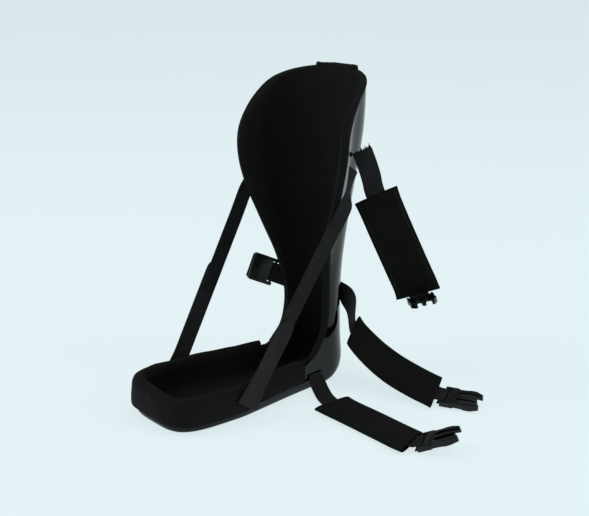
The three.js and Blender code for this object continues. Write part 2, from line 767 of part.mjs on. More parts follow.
// A short webbing tab on the -X side with the buckle's housing on it.
function tabStrap(name, rows) {
  const { route, bar, end, forward, across } = loopedRoute(rows);
  const webbing = route.frames(0, bar, TAB_STEPS).slice(0, -1)
    .concat(route.frames(bar, route.length, LOOP_STEPS));
  piece(`${name}_tab_webbing`, 'webbing', webbingGeometry(webbing, STRAP_WIDTH));
  placeBuckle(piece(`${name}_buckle_housing`, 'buckle', femaleBuckleGeometry()), end, forward, across);
}

// Route rows as shares of `reach` from the root; a row's height is a share of the root's height
// above `rest`, the height at which the strap lies on the floor.
function rowsOver(root, reach, rest, table) {
  return table.map((r) => ({
    point: vec(root.x + reach * r.x, root.y + reach * r.y, rest + (root.z - rest) * r.z),
    across: vec(r.ax, r.ay, r.az),
  }));
}

const FLAT = WEBBING / 2 + 3 * GAP;

// Rows of webbing stitched flat on the shell; `out` turns the face that the pad lies on: +1 or -1.
function seat(list, out) {
  const rows = list.map(([z, u]) => onShell(z * SHELL_HEIGHT, u, FLAT));
  return rows.map((r, i) => {
    const a = rows[Math.max(0, i - 1)].point;
    const b = rows[Math.min(rows.length - 1, i + 1)].point;
    const forward = b.clone().sub(a).normalize();
    return { point: r.point, across: forward.cross(r.normal.clone().multiplyScalar(out)) };
  });
}

// Tension straps from the tray's sides over the wings' rims: a lower half with a rounded end laid
// on the longer upper half. foot is a share of FOOT_LENGTH, rim, top and overlap of SHELL_HEIGHT.
const TENSION_STRAPS = [
  { name: 'near', side: 1, foot: -0.53, rim: 0.62, top: 0.72, overlap: 0.295 },
  { name: 'far', side: -1, foot: -0.583, rim: 0.62, top: 0.71, overlap: 0.395 },
];

// The end stitched on the wing: t runs from the rim to the end, u is its place on the wing.
const WING_SEAT = [
  { t: 0.3, u: 0.9, lift: 4.5 },
  { t: 0.65, u: 0.84, lift: 3.45 },
  { t: 1, u: 0.78, lift: 2.4 },
];

function tensionRoute({ side, foot, rim, top }) {
  const x = FOREFOOT_HALF_WIDTH + FLAP_THICKNESS + 2 * GAP + WEBBING / 2;
  const start = vec(side * x, foot * FOOT_LENGTH, SIDE_HEM + 3);
  const line = onShell(rim * SHELL_HEIGHT, side, EDGE_ROLL + 3.4).point.sub(start);
  const along = line.clone().normalize();
  const rows = [0, 0.12, 0.35, 0.6, 0.85, 1].map((t) => ({
    point: start.clone().addScaledVector(line, t),
    across: along.clone().cross(vec(side, 0, 0)),
  }));
  const end = WING_SEAT.map(({ t, u, lift }) => {
    const at = onShell((rim + (top - rim) * t) * SHELL_HEIGHT, side * u, FLAT + lift);
    return { point: at.point, across: along.clone().cross(at.normal) };
  });
  return new Route(rows.concat(end));
}

// The lower half: flared where it is stitched to the liner, and rounded at its upper end.
function lowerHalf(frames, side) {
  const tip = frames[frames.length - 1].point;
  return frames.map((f, i) => {
    const left = f.point.distanceTo(tip) / (STRAP_WIDTH / 2);
    const round = left < 1 ? Math.sqrt(Math.max(0.12, 1 - (1 - left) ** 2)) : 1;
    const point = f.point.clone().addScaledVector(vec(side, 0, 0), WEBBING + GAP);
    return { ...f, point, width: round + ROOT_FLARE * smooth(1 - i / 5) };
  });
}

function tensionStrap(strap) {
  const route = tensionRoute(strap);
  const frames = route.frames(0, route.length, TENSION_STEPS);
  const end = strap.overlap * SHELL_HEIGHT;
  const low = frames.filter((f) => f.point.z <= end);
  const high = frames.filter((f) => f.point.z >= end - OVERLAP);
  const name = `${strap.name}_tension_strap`;
  piece(`${name}_lower`, 'webbing', webbingGeometry(lowerHalf(low, strap.side), STRAP_WIDTH));
  piece(`${name}_upper`, 'webbing', webbingGeometry(high, UPPER_HALF_WIDTH));
}

piece('shell', 'shell', shellGeometry());
piece('calf_liner', 'liner', calfLinerGeometry());
piece('foot_liner', 'liner', footLinerGeometry());

TENSION_STRAPS.forEach(tensionStrap);

const PAD_REST = PAD_THICKNESS / 2 + 2 * GAP;
const BAR_REST = BUCKLE_THICKNESS / 2 + RIB + BAR_LIFT;
const SOCKET_REST = SOCKET_THICKNESS / 2 + GAP + BAR_LIFT;

// Upper strap: hangs beside the calf, one edge against the wing, its buckle turned to the front.
const upperRoot = seat([[0.745, 0.54]], 1)[0].point;
const UPPER_ROUTE = [
  { x: 0.121, y: -0.106, z: 0.060, ax: -0.58, ay: -0.7, az: -0.41 },
  { x: 0.126, y: -0.070, z: -0.020, ax: -0.58, ay: -0.7, az: -0.41 },
  { x: 0.124, y: -0.030, z: -0.110, ax: -0.58, ay: -0.7, az: -0.41 },
  { x: 0.110, y: 0.010, z: -0.20, ax: -0.58, ay: -0.7, az: -0.41 },
  { x: 0.158, y: 0.062, z: -0.37, ax: -0.58, ay: -0.7, az: -0.41 },
  { x: 0.206, y: 0.120, z: -0.54, ax: -0.58, ay: -0.7, az: -0.41 },
  { x: 0.252, y: 0.176, z: -0.70, ax: -0.58, ay: -0.7, az: -0.41 },
  { x: 0.296, y: 0.227, z: -0.85, ax: -0.6, ay: -0.72, az: -0.34 },
  { x: 0.306, y: 0.230, z: -0.88, ax: -0.62, ay: -0.75, az: -0.27 },
  { x: 0.336, y: 0.206, z: -0.873, ax: -0.62, ay: -0.75, az: -0.25 },
];
const upperRows = UPPER_ROUTE.map((r) => ({
  point: upperRoot.clone().add(vec(r.x, r.y, r.z).multiplyScalar(UPPER_REACH)),
  across: vec(r.ax, r.ay, r.az),
}));
paddedStrap('upper', upperRows);

// Middle strap: from the ankle's back, dropping to the floor behind the buckle side.
const middleSeat = seat([[0.28, 0.02], [0.281, 0.11], [0.282, 0.2], [0.282, 0.28], [0.282, 0.36]], -1);
const middleRoot = middleSeat[4].point;
const MIDDLE_ROUTE = [
  { x: 0.060, y: 0.010, z: 0.955, ax: -0.25, ay: -0.45, az: -0.86 },
  { x: 0.095, y: 0.034, z: 0.84, ax: 0.2, ay: -0.85, az: -0.5 },
  { x: 0.108, y: 0.028, z: 0.71, ax: 0.45, ay: -0.86, az: -0.25 },
  { x: 0.146, y: 0.008, z: 0.56, ax: 0.5, ay: -0.8, az: -0.3 },
  { x: 0.339, y: 0.024, z: 0.36, ax: 0.48, ay: -0.82, az: -0.33 },
  { x: 0.537, y: 0.068, z: 0.21, ax: 0.46, ay: -0.82, az: -0.33 },
  { x: 0.735, y: 0.118, z: 0.115, ax: 0.46, ay: -0.82, az: -0.32 },
  { x: 0.925, y: 0.162, z: 0.055, ax: 0.47, ay: -0.82, az: -0.28 },
  { x: 0.952, y: 0.173, z: 0.042, ax: 0.44, ay: -0.88, az: -0.24 },
  { x: 0.984, y: 0.188, z: 0.042, ax: 0.42, ay: -0.88, az: -0.22 },
];
paddedStrap('middle', middleSeat.concat(rowsOver(middleRoot, MIDDLE_REACH, BAR_REST, MIDDLE_ROUTE)));

// Lower strap: from the heel's side down to the floor and straight out along it.
const lowerSeat = seat([[0.052, 0.8], [0.044, 0.8], [0.034, 0.8]], 1);
const lowerRoot = lowerSeat[0].point;
const LOWER_ROUTE = [
  { x: 0.017, y: -0.005, z: 0.38, ax: 0, ay: -1, az: 0 },
  { x: 0.050, y: -0.015, z: 0.09, ax: 0, ay: -1, az: 0 },
  { x: 0.110, y: -0.045, z: 0, ax: 0, ay: -1, az: 0 },
  { x: 0.185, y: -0.085, z: 0.016, ax: 0, ay: -1, az: 0 },
  { x: 0.270, y: -0.110, z: 0.03, ax: 0, ay: -1, az: 0 },
  { x: 0.580, y: -0.115, z: 0.03, ax: 0.08, ay: -1, az: 0 },
  { x: 0.800, y: -0.118, z: 0.03, ax: 0.15, ay: -0.98, az: 0 },
  { x: 0.910, y: -0.120, z: 0.05, ax: 0.15, ay: -0.97, az: 0 },
  { x: 0.944, y: -0.122, z: 0.11, ax: 0.36, ay: -0.93, az: 0 },
  { x: 0.972, y: -0.104, z: 0.28, ax: 0.62, ay: -0.78, az: -0.04 },
];
paddedStrap('lower', lowerSeat.concat(rowsOver(lowerRoot, LOWER_REACH, PAD_REST, LOWER_ROUTE)));

// Tabs on the -X side: one down the wing, one forward from the ankle, one out on the floor.
const upperTab = seat([[0.778, -0.56], [0.745, -0.56], [0.712, -0.57]], -1);
const upperTabEnd = upperTab[2].point.clone().add(vec(-0.03, 0, -0.2).multiplyScalar(TAB_REACH));
tabStrap('upper', upperTab.concat([{ point: upperTabEnd, across: upperTab[2].across }]));

const MIDDLE_TAB_SEAT = [
  [0.272, -0.5], [0.28, -0.63], [0.287, -0.76], [0.296, -0.88], [0.307, -0.99],
];
const MIDDLE_TAB_WAY = [
  { x: -0.06, y: -0.08, z: 0.04 },
  { x: -0.12, y: -0.21, z: 0.10 },
];
const middleTab = seat(MIDDLE_TAB_SEAT, -1);
const middleTabRows = MIDDLE_TAB_WAY.map((r) => ({
  point: middleTab[4].point.clone().add(vec(r.x, r.y, r.z).multiplyScalar(TAB_REACH)),
  across: vec(0, 0.34, 0.94),
}));
tabStrap('middle', middleTab.concat(middleTabRows));

const lowerTab = seat([[0.076, -0.8], [0.062, -0.8], [0.050, -0.8]], 1);
const LOWER_TAB_ROUTE = [
  { x: -0.07, y: 0, z: 0.05, ax: 0, ay: 1, az: 0 },
  { x: -0.20, y: 0, z: -0.08, ax: 0, ay: 1, az: 0 },
  { x: -0.38, y: 0, z: 0, ax: 0, ay: 1, az: 0 },
  { x: -0.50, y: 0, z: 0, ax: 0, ay: 1, az: 0 },
];
tabStrap('lower', lowerTab.concat(rowsOver(lowerTab[0].point, TAB_REACH, SOCKET_REST, LOWER_TAB_ROUTE)));

export default group;
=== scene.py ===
# Ankle night splint: one glossy plastic shell with a calf trough and a foot tray, fabric-covered foam
# liners, two tension straps of hook-and-loop webbing, and three padded straps with side-release buckles.
# Metres, +Z up, toes towards -Y, the pronged buckle halves on the +X side.
import math

import bmesh
import bpy
from mathutils import Matrix, Vector, noise
from mathutils.bvhtree import BVHTree


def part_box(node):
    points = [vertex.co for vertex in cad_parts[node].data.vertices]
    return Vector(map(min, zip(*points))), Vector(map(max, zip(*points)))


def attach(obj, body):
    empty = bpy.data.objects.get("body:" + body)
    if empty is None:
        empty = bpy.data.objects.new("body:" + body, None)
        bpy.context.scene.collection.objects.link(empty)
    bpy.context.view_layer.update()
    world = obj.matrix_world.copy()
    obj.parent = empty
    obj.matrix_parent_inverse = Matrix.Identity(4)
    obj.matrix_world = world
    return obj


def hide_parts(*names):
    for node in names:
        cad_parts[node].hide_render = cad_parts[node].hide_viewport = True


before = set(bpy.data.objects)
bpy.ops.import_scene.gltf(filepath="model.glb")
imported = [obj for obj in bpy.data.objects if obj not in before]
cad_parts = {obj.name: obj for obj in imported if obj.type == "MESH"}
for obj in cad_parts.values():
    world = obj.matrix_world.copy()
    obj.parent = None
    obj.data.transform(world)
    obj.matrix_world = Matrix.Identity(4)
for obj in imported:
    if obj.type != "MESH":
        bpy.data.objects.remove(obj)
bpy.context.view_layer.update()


# ---- Studio
# A plain pale floor that runs out of view, a pale surround for the gloss to mirror, three large
# soft lights and a low one. The camera looks down a little on the toes and the buckle side.
def srgb(code):
    """An sRGB hex value such as "#1a1b1c" as linear RGBA."""
    parts = [int(code[i:i + 2], 16) / 255 for i in (1, 3, 5)]
    return [c / 12.92 if c <= 0.04045 else ((c + 0.055) / 1.055) ** 2.4 for c in parts] + [1.0]


def add(tree, kind, inputs, **settings):
    """Adds a node. An input given as another node's output is linked, and any other value is set."""
    node = tree.nodes.new(kind)
    for name, value in settings.items():
        setattr(node, name, value)
    for name, value in inputs.items():
        if isinstance(value, bpy.types.NodeSocket):
            tree.links.new(value, node.inputs[name])
        else:
            node.inputs[name].default_value = value
    return node


def new_finish(name):
    """An empty node material and its tree."""
    finish = bpy.data.materials.new(name)
    finish.use_nodes = True
    finish.node_tree.nodes.clear()
    return finish, finish.node_tree


def surface(tree, **inputs):
    """The shader of a finish, linked to its output. Underscores in the names stand for spaces."""
    named = {name.replace("_", " "): value for name, value in inputs.items()}
    shader = add(tree, "ShaderNodeBsdfPrincipled", named)
    add(tree, "ShaderNodeOutputMaterial", {"Surface": shader.outputs["BSDF"]})
    return shader


# Matt painted board, lit evenly through from behind: a pale blue-green white with no grain to
# speak of, and only a faint shadow under the splint.
studio_board, tree = new_finish("painted_studio_board")
place = add(tree, "ShaderNodeTexCoord", {})
cloudy = add(tree, "ShaderNodeTexNoise", {"Vector": place.outputs["Object"], "Scale": 0.8, "Detail": 1.0})
board_colour = add(tree, "ShaderNodeMix", {
    "Factor": cloudy.outputs["Fac"], 6: srgb("#6c7778"), 7: srgb("#717c7d")}, data_type="RGBA")
surface(tree, Base_Color=board_colour.outputs[2], Roughness=0.9,
        Emission_Color=srgb("#e5f2f5"), Emission_Strength=0.84)

board = bmesh.new()
bmesh.ops.create_grid(board, x_segments=4, y_segments=4, size=12.0)
board_mesh = bpy.data.meshes.new("studio_floor")
board.to_mesh(board_mesh)
board.free()
board_mesh.materials.append(studio_board)
studio_floor = bpy.data.objects.new("studio_floor", board_mesh)
bpy.context.scene.collection.objects.link(studio_floor)

surround = bpy.data.worlds.new("pale_surround")
surround.use_nodes = True
surround.node_tree.nodes.clear()
sky = add(surround.node_tree, "ShaderNodeBackground", {"Color": srgb("#e6f1f4"), "Strength": 0.25})
add(surround.node_tree, "ShaderNodeOutputWorld", {"Surface": sky.outputs["Background"]})
bpy.context.scene.world = surround
bpy.context.scene.view_settings.view_transform = "Standard"
bpy.context.scene.view_settings.look = "None"

SOFT_LIGHTS = [
    {"name": "front_left_softbox", "at": (-1.4, -1.9, 2.1), "size": 1.5, "watts": 27},
    {"name": "near_side_softbox", "at": (2.0, 1.3, 1.3), "size": 1.1, "watts": 17},
    {"name": "overhead_softbox", "at": (0.2, 0.4, 2.8), "size": 2.2, "watts": 19},
    {"name": "low_front_strip", "at": (0.7, -2.3, 0.30), "size": 0.5, "watts": 5},
]
for row in SOFT_LIGHTS:
    lamp = bpy.data.lights.new(row["name"], "AREA")
    lamp.shape = "SQUARE"
    lamp.size = row["size"]
    lamp.energy = row["watts"]
    lamp_object = bpy.data.objects.new(row["name"], lamp)
    lamp_object.location = row["at"]
    aim = Vector((0, -0.05, 0.15)) - lamp_object.location
    lamp_object.rotation_euler = aim.to_track_quat("-Z", "Y").to_euler()
    bpy.context.scene.collection.objects.link(lamp_object)

VIEW_AZIMUTH = math.radians(50.413)
VIEW_ELEVATION = math.radians(15.107)
VIEW_DISTANCE = 1.4772
VIEW_TARGET = Vector((0.0, -0.040, 0.220))
away = Vector((
    math.sin(VIEW_AZIMUTH) * math.cos(VIEW_ELEVATION),
    -math.cos(VIEW_AZIMUTH) * math.cos(VIEW_ELEVATION),
    math.sin(VIEW_ELEVATION),
))
camera_data = bpy.data.cameras.new("camera")
camera_data.lens = 71.88
camera_data.sensor_width = 36.0
camera_data.shift_x = 0.0158
camera_data.shift_y = -0.0694
camera = bpy.data.objects.new("camera", camera_data)
camera.location = VIEW_TARGET + away * VIEW_DISTANCE
camera.rotation_euler = (-away).to_track_quat("-Z", "Y").to_euler()
bpy.context.scene.collection.objects.link(camera)
bpy.context.scene.camera = camera


# ---- Shell
# One vacuum-formed sheet of black polypropylene, 3 mm thick: the calf trough flares into two wings
# and runs down into the low-walled foot tray. Its cut edges are rounded off and buffed.
def cad_surface(node):
    """The surface of a CAD node as a bmesh, its loose triangles merged and joined to quads."""
    form = bmesh.new()
    form.from_mesh(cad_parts[node].data)
    bmesh.ops.remove_doubles(form, verts=form.verts, dist=1e-5)
    bmesh.ops.join_triangles(
        form, faces=form.faces, angle_face_threshold=0.9, angle_shape_threshold=2.5)
    return form


def round_off(form, width, least_angle, segments=2):
    """Bevels every edge of a form that is sharper than least_angle, in degrees."""
    sharp = [e for e in form.edges if e.calc_face_angle(0) > math.radians(least_angle)]
    bmesh.ops.bevel(
        form, geom=sharp, offset=width, offset_type="OFFSET", segments=segments, profile=0.5,
        affect="EDGES", clamp_overlap=True, material=-1)


def make_piece(name, form, finish, slot, *nodes):
    """Turns a bmesh into a piece of the splint, which stands for the CAD nodes that are named."""
    for face in form.faces:
        face.smooth = True
    mesh = bpy.data.meshes.new(name)
    form.to_mesh(mesh)
    form.free()
    mesh.materials.append(finish)
    piece = bpy.data.objects.new(name, mesh)
    bpy.context.scene.collection.objects.link(piece)
    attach(piece, "root")
    if nodes:
        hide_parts(*nodes)
    return piece


def subdivide(piece, levels):
    """A live Subdivision Surface of the same level in views and renders."""
    smoother = piece.modifiers.new("subdivision", "SUBSURF")
    smoother.levels = levels
    smoother.render_levels = levels


# Polypropylene, thermoformed over a smooth mould: a wet-looking black with a faint orange peel that
# makes the reflections swim, and a little dulling where hands and floors have rubbed it.
polypropylene, tree = new_finish("thermoformed_polypropylene")
place = add(tree, "ShaderNodeTexCoord", {})
peel = add(tree, "ShaderNodeTexNoise", {"Vector": place.outputs["Object"], "Scale": 1 / 0.009, "Detail": 2.0})
rub = add(tree, "ShaderNodeTexNoise", {"Vector": place.outputs["Object"], "Scale": 1 / 0.045, "Detail": 4.0})
dull = add(tree, "ShaderNodeMapRange", {
    "Value": rub.outputs["Fac"], "From Min": 0.35, "From Max": 0.75, "To Min": 0.07, "To Max": 0.16})
tone = add(tree, "ShaderNodeMix", {
    "Factor": rub.outputs["Fac"], 6: srgb("#030304"), 7: srgb("#070708")}, data_type="RGBA")
swim = add(tree, "ShaderNodeBump", {"Height": peel.outputs["Fac"], "Strength": 0.10, "Distance": 0.0006})
surface(tree, Base_Color=tone.outputs[2], Roughness=dull.outputs["Result"], IOR=1.49, Specular_IOR_Level=0.25,
        Normal=swim.outputs["Normal"])

shell_form = cad_surface("shell")
round_off(shell_form, 0.0008, 50)
shell = make_piece("shell", shell_form, polypropylene, "shell", "shell")
subdivide(shell, 2)


# ---- Liners
# Two pads of polyurethane foam laminated in brushed loop fabric: one lines the trough and rolls over
# its rim, the other lines the tray with a raised crest and a flap that folds down over the wall.
brushed_loop, tree = new_finish("brushed_loop_fabric_on_foam")
place = add(tree, "ShaderNodeTexCoord", {})
pile = add(tree, "ShaderNodeTexNoise", {"Vector": place.outputs["Object"], "Scale": 1 / 0.0011,
    "Detail": 3.0})
nap = add(tree, "ShaderNodeTexNoise", {"Vector": place.outputs["Object"], "Scale": 1 / 0.016, "Detail": 3.0})
nap_tone = add(tree, "ShaderNodeMix", {
    "Factor": nap.outputs["Fac"], 6: srgb("#0c0b0c"), 7: srgb("#161516")}, data_type="RGBA")
speck = add(tree, "ShaderNodeMix", {
    "Factor": 0.25, 6: nap_tone.outputs[2], 7: pile.outputs["Color"]}, data_type="RGBA",
        blend_type="SOFT_LIGHT")
soft = add(tree, "ShaderNodeBump", {"Height": pile.outputs["Fac"], "Strength": 0.5, "Distance": 0.0003})
surface(tree, Base_Color=speck.outputs[2], Roughness=0.92, Specular_IOR_Level=0.15, Sheen_Weight=0.08,
    Sheen_Roughness=0.4,
        Sheen_Tint=srgb("#6c6c70"), Normal=soft.outputs["Normal"])


SWELL_PRESSURE = 4.0
SWELL_STEPS = 20
GLUED_WITHIN = 0.003
LINER_SWELL = 0.0012


def inflate(piece, pinned, cap):
    """Swells a soft piece by a short cloth simulation with a little pressure inside it. The
    pinned points stay, and no other point moves further than cap."""
    start = [vert.co.copy() for vert in piece.data.vertices]
    sewn = piece.vertex_groups.new(name="sewn")
    sewn.add(pinned, 1.0, "REPLACE")
    cloth = piece.modifiers.new("cloth", "CLOTH")
    cloth.settings.vertex_group_mass = "sewn"
    cloth.settings.use_pressure = True
    cloth.settings.uniform_pressure_force = SWELL_PRESSURE
    cloth.settings.effector_weights.gravity = 0.0
    cloth.point_cache.frame_start = 1
    cloth.point_cache.frame_end = SWELL_STEPS
    for step in range(1, SWELL_STEPS + 1):
        bpy.context.scene.frame_set(step)
    swollen = piece.evaluated_get(bpy.context.evaluated_depsgraph_get()).data.vertices
    settled = [vert.co.copy() for vert in swollen]
    piece.modifiers.remove(cloth)
    piece.vertex_groups.clear()
    for vert, old, new in zip(piece.data.vertices, start, settled):
        move = new - old
        if move.length > cap:
            move *= cap / move.length
        vert.co = old + move
    bpy.context.scene.frame_set(1)


# Foam that touches the shell is glued there; the rest is free to swell a little. The tray's flap is
# creased where the near tension strap pulls on it.
shell_faces = BVHTree.FromObject(shell, bpy.context.evaluated_depsgraph_get())
for node in ("calf_liner", "foot_liner"):
    liner_form = cad_surface(node)
    round_off(liner_form, 0.0010, 60)
    bmesh.ops.subdivide_edges(liner_form, edges=liner_form.edges, cuts=1, use_grid_fill=True, smooth=0.6)
    for vert in liner_form.verts:
        wave = noise.noise(vert.co * 42.0) * 0.0011 + noise.noise(vert.co * 110.0) * 0.0004
        near_root = max(0.0, 1 - abs(vert.co.y + 0.125) / 0.075) if vert.co.x > 0.045 else 0.0
        crease = math.sin((vert.co.y - 1.5 * vert.co.z) / 0.0031) * 0.0013 * near_root
        if shell_faces.find_nearest(vert.co)[3] > GLUED_WITHIN:
            vert.co += vert.normal * (wave + (crease if node == "foot_liner" else 0.0))
    liner = make_piece(node, liner_form, brushed_loop, "liner", node)
    glued = [v.index for v in liner.data.vertices if shell_faces.find_nearest(v.co)[3] < GLUED_WITHIN]
    inflate(liner, glued, LINER_SWELL)
    subdivide(liner, 1)


# ---- Webbing
# Woven polypropylene webbing, 25 mm wide and 1.6 mm thick, cut to length and sewn. The lower halves
# of the tension straps are faced with grey loop; the upper halves are narrower and hook onto them.
def webbing_rows(node, start):
    """The sections of a webbing node from the cap nearest to start: (one edge, other edge) points."""
    form = cad_surface(node)
    caps = [f for f in form.faces
            if len(f.verts) == 4 and all(e.calc_face_angle(0) > 1.0 for e in f.edges)]
    first = min(caps, key=lambda f: (f.calc_center_median() - Vector(start)).length)
    ring = list(first.verts)
    seen = set(ring)
    rows = []
    while ring:
        a, b, c, d = [v.co for v in ring]
        pairings = [((a, b), (c, d)), ((a, c), (b, d)), ((a, d), (b, c))]
        pairs = min(pairings, key=lambda p: (p[0][0] - p[0][1]).length + (p[1][0] - p[1][1]).length)
        left, right = [(p + q) / 2 for p, q in pairs]
        if rows and (left - rows[-1][0]).length > (left - rows[-1][1]).length:
            left, right = right, left
        rows.append((left, right))
        ring = list({e.other_vert(v) for v in ring for e in v.link_edges} - seen)
        seen.update(ring)
    form.free()
    return rows


def run_lengths(rows):
    """How far along the webbing each section lies."""
    run = [0.0]
    for one, two in zip(rows, rows[1:]):
        run.append(run[-1] + ((two[0] + two[1]) / 2 - (one[0] + one[1]) / 2).length)
    return run


def webbing_form(rows, columns):
    """A flat weave laid along its sections, with a UV map in metres: across in u, along in v."""
    form = bmesh.new()
    last = len(rows) - 1
    bmesh.ops.create_grid(form, x_segments=columns, y_segments=last, size=0.5)
    uv = form.loops.layers.uv.new("weave")
    run = run_lengths(rows)
    for face in form.faces:
        for loop in face.loops:
            row = round((loop.vert.co.y + 0.5) * last)
            loop[uv].uv = (loop.vert.co.x * (rows[row][1] - rows[row][0]).length, run[row])
    for vert in form.verts:
        left, right = rows[round((vert.co.y + 0.5) * last)]
        vert.co = left.lerp(right, vert.co.x + 0.5)
    return form


def thicken(piece, thickness, edge):
    """Gives a sheet its thickness, evenly to both sides, and rounds its edges."""
    wall = piece.modifiers.new("thickness", "SOLIDIFY")
    wall.thickness = thickness
    wall.offset = 0.0
    rounding = piece.modifiers.new("edges", "BEVEL")
    rounding.width = edge
    rounding.segments = 2
    rounding.limit_method = "ANGLE"
    rounding.angle_limit = math.radians(50)


def woven(name, dark, light, pitch, fuzz):
    """A webbing finish: ribs of yarn across the tape at a real pitch, with fuzz from 0 to 1, and painted
    shade in the valleys between the ribs.
    """
    finish, tree = new_finish(name)
    place = add(tree, "ShaderNodeTexCoord", {})
    weft = add(tree, "ShaderNodeTexWave", {
        "Vector": place.outputs["UV"], "Scale": 0.314 / pitch, "Distortion": 0.6, "Detail": 1.0,
        "Detail Scale": 3.0}, bands_direction="Y")
    warp = add(tree, "ShaderNodeTexWave", {
        "Vector": place.outputs["UV"], "Scale": 0.314 / (0.8 * pitch), "Distortion": 0.3},
            bands_direction="X")
    cross = add(tree, "ShaderNodeMix", {
        "Factor": 0.45, 2: weft.outputs["Fac"], 3: warp.outputs["Fac"]}, data_type="FLOAT")
    hairs = add(tree, "ShaderNodeTexNoise", {
        "Vector": place.outputs["Object"], "Scale": 1 / 0.0012, "Detail": 3.0})
    relief = add(tree, "ShaderNodeMix", {
        "Factor": fuzz, 2: cross.outputs[0], 3: hairs.outputs["Fac"]}, data_type="FLOAT")
    worn = add(tree, "ShaderNodeTexNoise", {
        "Vector": place.outputs["Object"], "Scale": 1 / 0.02, "Detail": 2.0})
    # The colour follows the relief: painted shade, darker in the valleys between the yarns, times a random
    # mottling of wear.
    groove_shade_and_wear = add(tree, "ShaderNodeMath", {0: relief.outputs[0], 1: worn.outputs["Fac"]}, operation="MULTIPLY")
    spread = add(tree, "ShaderNodeMapRange", {"Value": groove_shade_and_wear.outputs[0], "From Min": 0.05, "From Max": 0.5})
    tone = add(tree, "ShaderNodeMix", {
        "Factor": spread.outputs["Result"], 6: srgb(dark), 7: srgb(light)}, data_type="RGBA")
    bump = add(tree, "ShaderNodeBump", {"Height": relief.outputs[0], "Strength": 0.7, "Distance": 0.00035})
    surface(tree, Base_Color=tone.outputs[2], Roughness=0.82, Specular_IOR_Level=0.2, Sheen_Weight=0.06,
        Sheen_Roughness=0.5,
            Sheen_Tint=srgb("#6c6c70"), Normal=bump.outputs["Normal"])
    return finish


# Plain black webbing shows close cross ribs, in painted shade as well as bump; loop webbing is greyer, with
# the ribs lost in its pile.
black_webbing = woven("woven_polypropylene_webbing", "#0b0b0c", "#212123", 0.0016, 0.25)
loop_webbing = woven("grey_loop_faced_webbing", "#171517", "#2a282a", 0.0016, 0.75)

TENSION_STRAPS = [
    {"name": "near_tension_strap_lower", "finish": loop_webbing, "slot": "webbing_grey"},
    {"name": "near_tension_strap_upper", "finish": black_webbing, "slot": "webbing"},
    {"name": "far_tension_strap_lower", "finish": loop_webbing, "slot": "webbing_grey"},
    {"name": "far_tension_strap_upper", "finish": black_webbing, "slot": "webbing"},
]
for row in TENSION_STRAPS:
    low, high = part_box(row["name"])
    strap_form = webbing_form(webbing_rows(row["name"], (low[0], low[1], low[2])), 6)
    strap = make_piece(row["name"], strap_form, row["finish"], row["slot"], row["name"])
    thicken(strap, 0.0016, 0.0005)
    subdivide(strap, 2)

STRAPS = ["upper", "middle", "lower"]
for strap_name in STRAPS:
    for part in ("_strap_webbing", "_tab_webbing"):
        node = strap_name + part
        strap_form = webbing_form(webbing_rows(node, (0.0, 0.0, 0.2)), 6)
        strap = make_piece(node, strap_form, black_webbing, "webbing", node)
        thicken(strap, 0.0016, 0.0005)
        subdivide(strap, 2)


# Bonded nylon sewing thread, barely lighter than the cloth, with a dull waxed shine.
nylon_thread, tree = new_finish("bonded_nylon_thread")
place = add(tree, "ShaderNodeTexCoord", {})
twist = add(tree, "ShaderNodeTexNoise", {"Vector": place.outputs["Object"], "Scale": 1 / 0.0008,
    "Detail": 2.0})
thread_tone = add(tree, "ShaderNodeMix", {
    "Factor": twist.outputs["Fac"], 6: srgb("#0e0e0f"), 7: srgb("#1b1b1c")}, data_type="RGBA")
surface(tree, Base_Color=thread_tone.outputs[2], Roughness=0.5, IOR=1.53)

STITCH_PITCH = 0.0036
STITCH_LENGTH = 0.0027
THREAD = 0.0007


def sew(form, line, lift):
    """Adds a run of stitches along a line of points, each lifted by its vector from lift."""
    run = [0.0]
    for one, two in zip(line, line[1:]):
        run.append(run[-1] + (two - one).length)
    count = int(run[-1] / STITCH_PITCH)
    for k in range(count):
        at = (k + 0.5) * run[-1] / count
        i = max(j for j in range(len(run) - 1) if run[j] <= at)
        share = (at - run[i]) / (run[i + 1] - run[i])
        middle = line[i].lerp(line[i + 1], share) + lift[i]
        turn = (line[i + 1] - line[i]).to_track_quat("Z", "Y").to_matrix().to_4x4()
        size = Matrix.Diagonal((THREAD / 2, THREAD / 2, STITCH_LENGTH / 2, 1.0))
        bmesh.ops.create_uvsphere(
            form, u_segments=8, v_segments=6, radius=1.0, matrix=Matrix.Translation(middle) @ turn @ size)


def box_stitch(form, rows, first, last, thickness):
    """A stitched box with a cross through it, on both faces of webbing between two of its rows."""
    for side in (1, -1):
        edges = {0.14: [], 0.86: []}
        lifts = []
        for left, right in rows[first:last + 1]:
            i = rows.index((left, right))
            one, two = rows[max(0, i - 1)], rows[min(len(rows) - 1, i + 1)]
            up = (right - left).cross((two[0] + two[1]) - (one[0] + one[1])).normalized()
            lifts.append(up * side * (thickness / 2 + THREAD / 4))
            for share in edges:
                edges[share].append(left.lerp(right, share))
        low, high = edges[0.14], edges[0.86]
        sew(form, low, lifts)
        sew(form, high, lifts)
        sew(form, [low[0], high[0]], [lifts[0]])
        sew(form, [low[-1], high[-1]], [lifts[-1]])
        steps = len(low) - 1
        sew(form, [low[k].lerp(high[k], k / steps) for k in range(steps + 1)], lifts)
        sew(form, [high[k].lerp(low[k], k / steps) for k in range(steps + 1)], lifts)


tension_seams = bmesh.new()
for row in TENSION_STRAPS:
    low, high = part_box(row["name"])
    rows = webbing_rows(row["name"], (low[0], low[1], low[2]))
    if row["name"].endswith("upper"):
        box_stitch(tension_seams, rows, len(rows) - 5, len(rows) - 2, 0.0016)
    else:
        box_stitch(tension_seams, rows, 1, 4, 0.0016)
make_piece("tension_strap_stitches", tension_seams, nylon_thread, "webbing")

